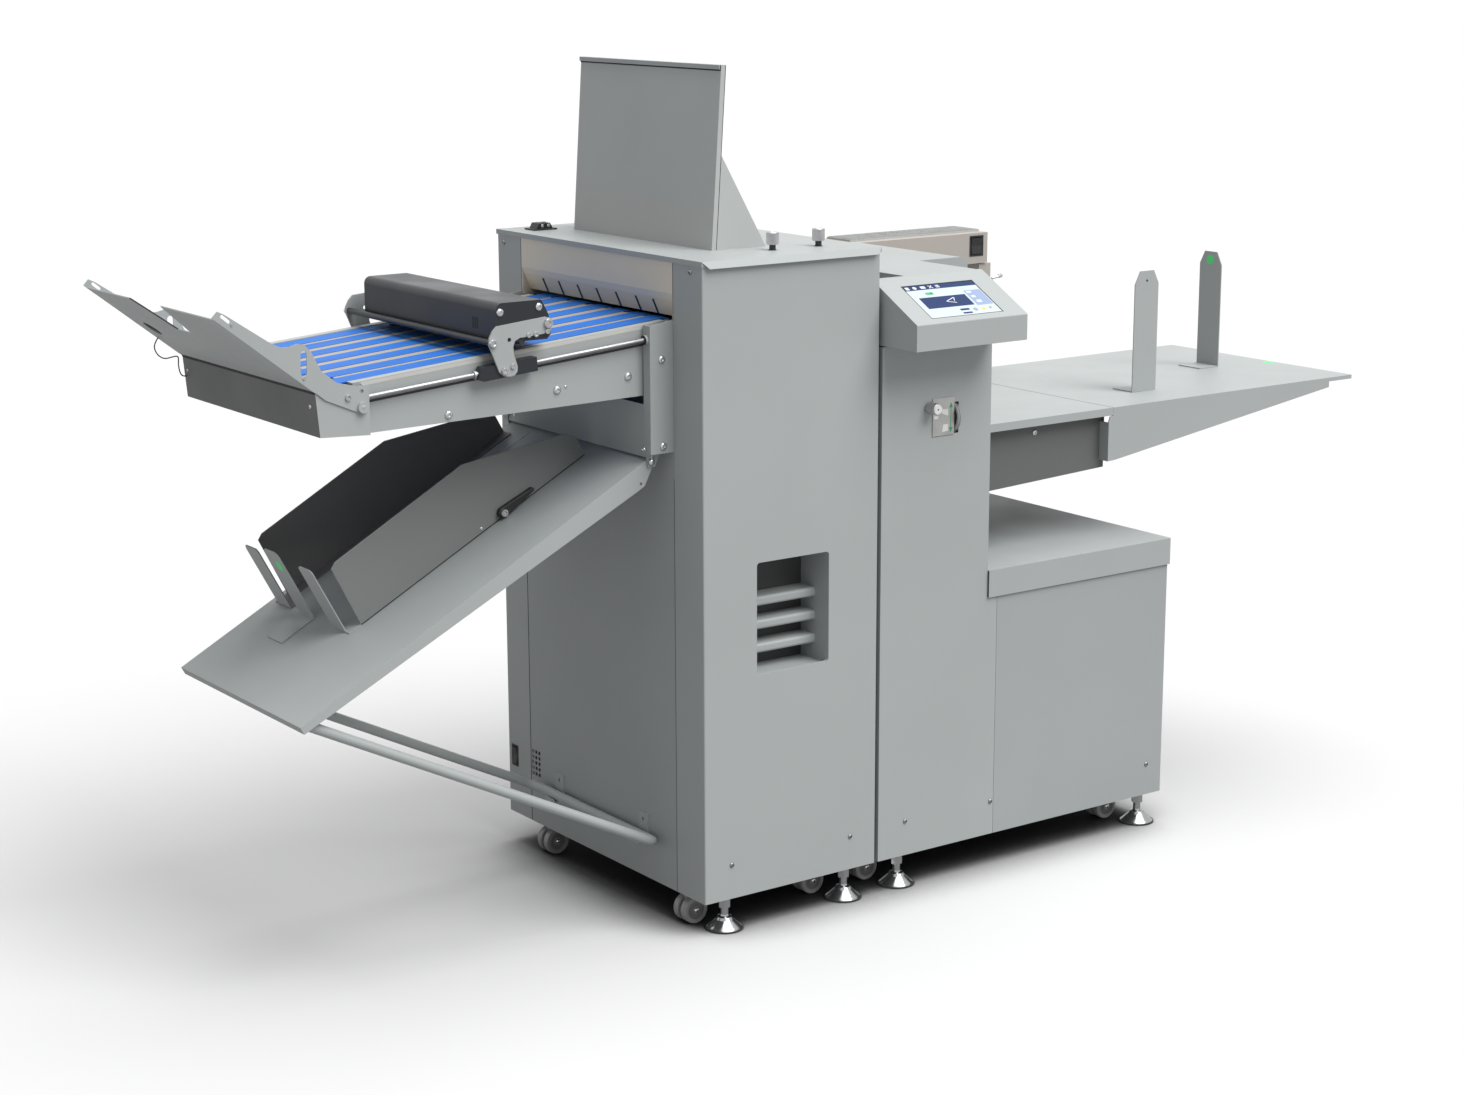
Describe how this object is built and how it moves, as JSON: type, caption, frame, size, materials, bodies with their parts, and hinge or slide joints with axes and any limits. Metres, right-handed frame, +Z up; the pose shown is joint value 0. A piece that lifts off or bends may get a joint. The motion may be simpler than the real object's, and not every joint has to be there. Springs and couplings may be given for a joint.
{
  "type": "creasing and folding machine",
  "caption": "Floor-standing paper creaser and folder with a lifting pile table, belted delivery conveyor, press roller and catch tray.",
  "frame": {"origin": "centre of the front left levelling foot's pad, on the floor", "axes": "+X from the delivery end towards the feeder's pile table, +Y from the operator's side to the back, +Z up"},
  "size_m": [2.8349, 0.8502, 1.683],
  "materials": {
    "cover_grey": "light grey powder coat, fine texture",
    "frame_grey": "grey powder coat",
    "zinc_steel": "plated steel",
    "chrome": "polished",
    "belt_blue": "satin blue belt",
    "bed_cream": "matt cream",
    "satin_black": "satin black coat",
    "black_plastic": "matt black moulding",
    "blower_beige": "beige coat",
    "screen_glass": null,
    "silver_knob": "turned, knurled",
    "wheel_grey": "pale grey castor tread",
    "roller_black": "black rubber cover"
  },
  "bodies": {
    "root": {"tower_frame": "frame_grey", "tower_front_cover": "cover_grey", "tower_rear_cover": "cover_grey", "tower_top_cover": "cover_grey", "exit_hood": "cover_grey", "tool_rack": "cover_grey", "sheet_guide_plate": "cover_grey", "levelling_feet": "chrome", "castor_forks": "frame_grey", "drive_motor": "satin_black", "side_brackets": "cover_grey", "conveyor_rails": "cover_grey", "belt_bed": "bed_cream", "conveyor_belts": "belt_blue", "conveyor_end_box": "cover_grey", "slide_rods": "chrome", "sensor_lead": "black_plastic", "feeder_cabinet": "cover_grey", "feeder_front_panel": "cover_grey", "feeder_deck_cover": "cover_grey", "feed_head_cover": "cover_grey", "console_housing": "cover_grey", "touch_screen": "screen_glass", "blower_box": "blower_beige", "adjuster_plate": "zinc_steel", "vacuum_pump": "satin_black"},
    "press_unit": {"press_carriage": "cover_grey", "press_housing": "satin_black"},
    "press_roller": {"press_roller": "roller_black"},
    "conveyor_drive_roller": {"conveyor_drive_roller": "zinc_steel"},
    "conveyor_tail_roller": {"conveyor_tail_roller": "zinc_steel"},
    "sheet_stop": {"sheet_stop": "cover_grey"},
    "catch_tray": {"catch_tray": "cover_grey"},
    "tray_bail": {"tray_bail": "cover_grey"},
    "tray_guide_near": {"tray_guide_near": "cover_grey"},
    "clamp_lever": {"clamp_lever": "black_plastic"},
    "tray_guide_far": {"tray_guide_far": "satin_black"},
    "tray_end_stop": {"tray_end_stop": "cover_grey"},
    "cover_knob_left": {"cover_knob_left": "silver_knob"},
    "cover_knob_right": {"cover_knob_right": "silver_knob"},
    "tower_switch": {"tower_switch": "black_plastic"},
    "blower_switch": {"blower_switch": "black_plastic"},
    "adjuster_knob": {"adjuster_knob": "silver_knob"},
    "adjuster_wheel": {"adjuster_wheel": "black_plastic"},
    "pile_table": {"pile_table": "cover_grey"},
    "pile_side_guide": {"pile_side_guide": "cover_grey"},
    "pile_tail_stop": {"pile_tail_stop": "cover_grey"},
    "fold_roller_upper": {"fold_roller_upper": "roller_black"},
    "fold_roller_lower": {"fold_roller_lower": "roller_black"},
    "fold_knife": {"fold_knife": "zinc_steel"},
    "crease_blade": {"crease_blade": "zinc_steel"},
    "suction_drum": {"suction_drum": "zinc_steel"},
    "castor_tower_left_front": {"castor_tower_left_front": "wheel_grey"},
    "castor_tower_left_rear": {"castor_tower_left_rear": "wheel_grey"},
    "castor_tower_right_front": {"castor_tower_right_front": "wheel_grey"},
    "castor_tower_right_rear": {"castor_tower_right_rear": "wheel_grey"},
    "castor_feeder_left_front": {"castor_feeder_left_front": "wheel_grey"},
    "castor_feeder_left_rear": {"castor_feeder_left_rear": "wheel_grey"},
    "castor_feeder_right_front": {"castor_feeder_right_front": "wheel_grey"},
    "castor_feeder_right_rear": {"castor_feeder_right_rear": "wheel_grey"}
  },
  "joints": [
    {"name": "press_slide", "type": "slide", "parent": "root", "child": "press_unit", "axis": [0.9965, 0, 0.0837], "range_m": [-0.2, 0.2]},
    {"name": "press_roller_spin", "type": "hinge", "parent": "press_unit", "child": "press_roller", "pos_m": [-0.39716, 0.347, 1.20064], "axis": [0, 1, 0], "continuous": true},
    {"name": "conveyor_drive_spin", "type": "hinge", "parent": "root", "child": "conveyor_drive_roller", "pos_m": [-0.04236, 0.347, 1.1937], "axis": [0, 1, 0], "continuous": true},
    {"name": "conveyor_tail_spin", "type": "hinge", "parent": "root", "child": "conveyor_tail_roller", "pos_m": [-0.74689, 0.347, 1.13454], "axis": [0, 1, 0], "continuous": true},
    {"name": "sheet_stop_hinge", "type": "hinge", "parent": "root", "child": "sheet_stop", "pos_m": [-0.7295, 0.347, 1.114], "axis": [0, 1, 0], "range_deg": [0, 45]},
    {"name": "catch_tray_hinge", "type": "hinge", "parent": "root", "child": "catch_tray", "pos_m": [-0.1045, 0.347, 0.941], "axis": [0, 1, 0], "range_deg": [0, 8]},
    {"name": "tray_bail_hinge", "type": "hinge", "parent": "catch_tray", "child": "tray_bail", "pos_m": [-0.84159, 0.347, 0.53972], "axis": [0, 1, 0], "range_deg": [-8, 0]},
    {"name": "tray_guide_near_slide", "type": "slide", "parent": "catch_tray", "child": "tray_guide_near", "axis": [0, 1, 0], "range_m": [-0.13, 0.05]},
    {"name": "clamp_lever_turn", "type": "hinge", "parent": "tray_guide_near", "child": "clamp_lever", "pos_m": [-0.33235, 0.265, 0.84067], "axis": [0, -1, 0], "range_deg": [0, 95]},
    {"name": "tray_guide_far_slide", "type": "slide", "parent": "catch_tray", "child": "tray_guide_far", "axis": [0, 1, 0], "range_m": [-0.03, 0.015]},
    {"name": "tray_end_stop_slide", "type": "slide", "parent": "catch_tray", "child": "tray_end_stop", "axis": [0.8816, 0, 0.4719], "range_m": [-0.12, 0.1]},
    {"name": "cover_knob_left_turn", "type": "hinge", "parent": "root", "child": "cover_knob_left", "pos_m": [0.1595, 0.056, 1.3317], "axis": [0, 0, 1], "continuous": true},
    {"name": "cover_knob_right_turn", "type": "hinge", "parent": "root", "child": "cover_knob_right", "pos_m": [0.2725, 0.058, 1.3317], "axis": [0, 0, 1], "continuous": true},
    {"name": "tower_switch_rock", "type": "hinge", "parent": "root", "child": "tower_switch", "pos_m": [-0.0605, 0.6885, 0.198], "axis": [0, 1, 0], "range_deg": [-8, 8]},
    {"name": "blower_switch_rock", "type": "hinge", "parent": "root", "child": "blower_switch", "pos_m": [1.128, 0.581, 1.2285], "axis": [1, 0, 0], "range_deg": [-8, 8]},
    {"name": "adjuster_knob_turn", "type": "hinge", "parent": "root", "child": "adjuster_knob", "pos_m": [0.4885, -0.0275, 1.001], "axis": [0, 1, 0], "continuous": true},
    {"name": "adjuster_wheel_turn", "type": "hinge", "parent": "root", "child": "adjuster_wheel", "pos_m": [0.5615, -0.004, 0.974], "axis": [1, 0, 0], "continuous": true},
    {"name": "pile_table_lift", "type": "slide", "parent": "root", "child": "pile_table", "axis": [0, 0, 1], "range_m": [-0.132, 0.105]},
    {"name": "pile_side_guide_slide", "type": "slide", "parent": "pile_table", "child": "pile_side_guide", "axis": [0, 1, 0], "range_m": [-0.1, 0.05]},
    {"name": "pile_tail_stop_slide", "type": "slide", "parent": "pile_table", "child": "pile_tail_stop", "axis": [1, 0, 0], "range_m": [-0.27, 0.12]},
    {"name": "fold_roller_upper_spin", "type": "hinge", "parent": "root", "child": "fold_roller_upper", "pos_m": [0.1665, 0.347, 1.1953], "axis": [0, 1, 0], "continuous": true},
    {"name": "fold_roller_lower_spin", "type": "hinge", "parent": "root", "child": "fold_roller_lower", "pos_m": [0.1665, 0.347, 1.1407], "axis": [0, 1, 0], "continuous": true},
    {"name": "fold_knife_stroke", "type": "slide", "parent": "root", "child": "fold_knife", "axis": [-1, 0, 0], "range_m": [0, 0.02]},
    {"name": "crease_blade_stroke", "type": "slide", "parent": "root", "child": "crease_blade", "axis": [0, 0, -1], "range_m": [0, 0.006]},
    {"name": "suction_drum_spin", "type": "hinge", "parent": "root", "child": "suction_drum", "pos_m": [0.7195, 0.347, 1.117], "axis": [0, 1, 0], "continuous": true},
    {"name": "castor_tower_left_front_roll", "type": "hinge", "parent": "root", "child": "castor_tower_left_front", "pos_m": [-0.0315, 0.073, 0.028], "axis": [0, 1, 0], "continuous": true},
    {"name": "castor_tower_left_rear_roll", "type": "hinge", "parent": "root", "child": "castor_tower_left_rear", "pos_m": [-0.0315, 0.591, 0.028], "axis": [0, 1, 0], "continuous": true},
    {"name": "castor_tower_right_front_roll", "type": "hinge", "parent": "root", "child": "castor_tower_right_front", "pos_m": [0.2615, 0.073, 0.028], "axis": [0, 1, 0], "continuous": true},
    {"name": "castor_tower_right_rear_roll", "type": "hinge", "parent": "root", "child": "castor_tower_right_rear", "pos_m": [0.2615, 0.591, 0.028], "axis": [0, 1, 0], "continuous": true},
    {"name": "castor_feeder_left_front_roll", "type": "hinge", "parent": "root", "child": "castor_feeder_left_front", "pos_m": [0.402, 0.073, 0.028], "axis": [0, 1, 0], "continuous": true},
    {"name": "castor_feeder_left_rear_roll", "type": "hinge", "parent": "root", "child": "castor_feeder_left_rear", "pos_m": [0.402, 0.591, 0.028], "axis": [0, 1, 0], "continuous": true},
    {"name": "castor_feeder_right_front_roll", "type": "hinge", "parent": "root", "child": "castor_feeder_right_front", "pos_m": [1.0845, 0.073, 0.028], "axis": [0, 1, 0], "continuous": true},
    {"name": "castor_feeder_right_rear_roll", "type": "hinge", "parent": "root", "child": "castor_feeder_right_rear", "pos_m": [1.0845, 0.591, 0.028], "axis": [0, 1, 0], "continuous": true}
  ],
  "couplings": [
    {"joint": "conveyor_tail_spin", "follows": "conveyor_drive_spin", "ratio": 1},
    {"joint": "tray_bail_hinge", "follows": "catch_tray_hinge", "ratio": -1},
    {"joint": "fold_roller_lower_spin", "follows": "fold_roller_upper_spin", "ratio": -1}
  ]
}
